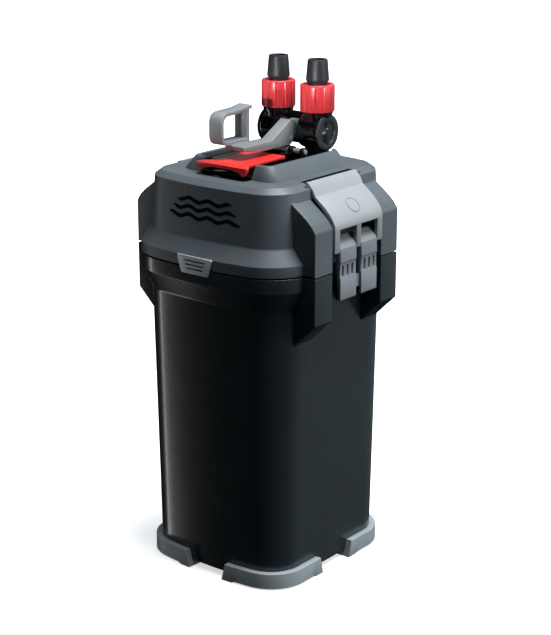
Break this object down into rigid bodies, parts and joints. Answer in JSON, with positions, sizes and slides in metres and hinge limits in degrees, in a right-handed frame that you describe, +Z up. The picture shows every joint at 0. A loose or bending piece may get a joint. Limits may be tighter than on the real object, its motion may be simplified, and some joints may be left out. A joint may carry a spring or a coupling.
{
  "type": "canister filter",
  "caption": "Free-standing aquarium canister filter: tall rounded canister, motor head with two side latches, lever-operated shut-off valve with hose nozzles and lock nuts.",
  "frame": {"origin": "centre of the footprint, on the surface that the feet stand on", "axes": "+Z up; the front face looks along -Y; the two latches are on +X and -X"},
  "size_m": [0.1906, 0.18, 0.42],
  "materials": {
    "canister_gloss": "smooth moulded, glossy",
    "head_satin": "fine satin moulded grain",
    "inner_plastic": "moulded",
    "seal_rubber": "matt rubber",
    "black_gloss": "polished",
    "badge_silver": "satin silver",
    "lamination_steel": "stamped laminations",
    "copper_winding": "enamelled wire",
    "white_ceramic": "ground",
    "magnet_ferrite": "sintered, matt",
    "white_plastic": "moulded",
    "pin_steel": "drawn bar",
    "lever_grey": "satin moulded",
    "signal_red": "semi-gloss moulded",
    "latch_light": "satin moulded",
    "tab_grey": "satin moulded",
    "foot_grey": "satin moulded",
    "cap_grey": "satin moulded",
    "nozzle_slate": "satin moulded",
    "nut_red": "semi-gloss moulded",
    "media_ceramic": "porous",
    "media_pad": "pressed fibre",
    "media_foam": "open-cell foam"
  },
  "bodies": {
    "root": {"canister": "canister_gloss", "foot_front_left": "foot_grey", "foot_front_right": "foot_grey", "foot_back_left": "foot_grey", "foot_back_right": "foot_grey", "head_cover": "head_satin", "head_base": "inner_plastic", "head_gasket": "seal_rubber", "deck_frame": "head_satin", "deck_panel": "black_gloss", "front_badge": "badge_silver", "front_mark": "black_gloss", "cord_gland": "seal_rubber", "stator_core": "lamination_steel", "stator_coil_front": "copper_winding", "stator_coil_back": "copper_winding", "shaft_bush_top": "seal_rubber", "shaft_bush_bottom": "seal_rubber", "impeller_shaft": "white_ceramic", "impeller_cover": "inner_plastic", "cover_seal": "seal_rubber", "head_screws": "pin_steel", "lever_pin_left": "pin_steel", "lever_pin_right": "pin_steel", "valve_block": "black_gloss", "valve_cap_left": "cap_grey", "valve_cap_right": "cap_grey", "port_seals": "seal_rubber", "lock_lever_pin": "latch_light", "nozzle_left": "nozzle_slate", "nozzle_right": "nozzle_slate", "media_basket_1": "inner_plastic", "media_basket_2": "inner_plastic", "media_basket_3": "inner_plastic", "basket_cover": "inner_plastic", "ceramic_rings": "media_ceramic", "fine_pads": "media_pad", "foam_frame": "inner_plastic", "foam_front": "media_foam", "foam_back": "media_foam"},
    "lever_left": {"latch_lever_left": "tab_grey", "hook_pin_left": "pin_steel"},
    "lever_right": {"latch_lever_right": "tab_grey", "hook_pin_right": "pin_steel"},
    "hook_left": {"latch_hook_left": "latch_light"},
    "hook_right": {"latch_hook_right": "latch_light"},
    "valve": {"valve_lever": "lever_grey", "valve_shaft": "pin_steel", "valve_rotor_left": "white_plastic", "valve_rotor_right": "white_plastic"},
    "lock": {"lock_lever": "signal_red"},
    "sleeve_left": {"clamp_sleeve_left": "white_plastic"},
    "sleeve_right": {"clamp_sleeve_right": "white_plastic"},
    "nut_left": {"lock_nut_left": "nut_red"},
    "nut_right": {"lock_nut_right": "nut_red"},
    "rotor": {"rotor_magnet": "magnet_ferrite", "impeller": "white_plastic"}
  },
  "joints": [
    {"name": "latch_left_lift", "type": "hinge", "parent": "root", "child": "lever_left", "pos_m": [-0.083, 0, 0.2865], "axis": [0, 1, 0], "range_deg": [0, 95]},
    {"name": "latch_left_hook", "type": "hinge", "parent": "lever_left", "child": "hook_left", "pos_m": [-0.0923, 0, 0.2865], "axis": [0, -1, 0], "range_deg": [0, 118.75]},
    {"name": "latch_right_lift", "type": "hinge", "parent": "root", "child": "lever_right", "pos_m": [0.083, 0, 0.2865], "axis": [0, -1, 0], "range_deg": [0, 95]},
    {"name": "latch_right_hook", "type": "hinge", "parent": "lever_right", "child": "hook_right", "pos_m": [0.0923, 0, 0.2865], "axis": [0, 1, 0], "range_deg": [0, 118.75]},
    {"name": "valve_lever_lift", "type": "hinge", "parent": "root", "child": "valve", "pos_m": [0, 0.0418, 0.3607], "axis": [-1, 0, 0], "range_deg": [0, 42]},
    {"name": "lock_lever_lift", "type": "hinge", "parent": "root", "child": "lock", "pos_m": [0, 0.021, 0.3468], "axis": [-1, 0, 0], "range_deg": [0, 25.2]},
    {"name": "nut_left_turn", "type": "hinge", "parent": "sleeve_left", "child": "nut_left", "pos_m": [-0.0204, 0.0418, 0.39], "axis": [0, 0, 1], "range_deg": [0, 480]},
    {"name": "sleeve_left_rise", "type": "slide", "parent": "root", "child": "sleeve_left", "axis": [0, 0, 1], "range_m": [0, 0.004]},
    {"name": "nut_right_turn", "type": "hinge", "parent": "sleeve_right", "child": "nut_right", "pos_m": [0.0204, 0.0418, 0.39], "axis": [0, 0, 1], "range_deg": [0, 480]},
    {"name": "sleeve_right_rise", "type": "slide", "parent": "root", "child": "sleeve_right", "axis": [0, 0, 1], "range_m": [0, 0.004]},
    {"name": "impeller_spin", "type": "hinge", "parent": "root", "child": "rotor", "pos_m": [0, -0.012, 0.28], "axis": [0, 0, 1], "continuous": true}
  ],
  "couplings": [
    {"joint": "latch_left_hook", "follows": "latch_left_lift", "ratio": 1.25},
    {"joint": "latch_right_hook", "follows": "latch_right_lift", "ratio": 1.25},
    {"joint": "lock_lever_lift", "follows": "valve_lever_lift", "ratio": 0.6},
    {"joint": "sleeve_left_rise", "follows": "nut_left_turn", "m_per_rad": 0.00047746},
    {"joint": "sleeve_right_rise", "follows": "nut_right_turn", "m_per_rad": 0.00047746}
  ]
}
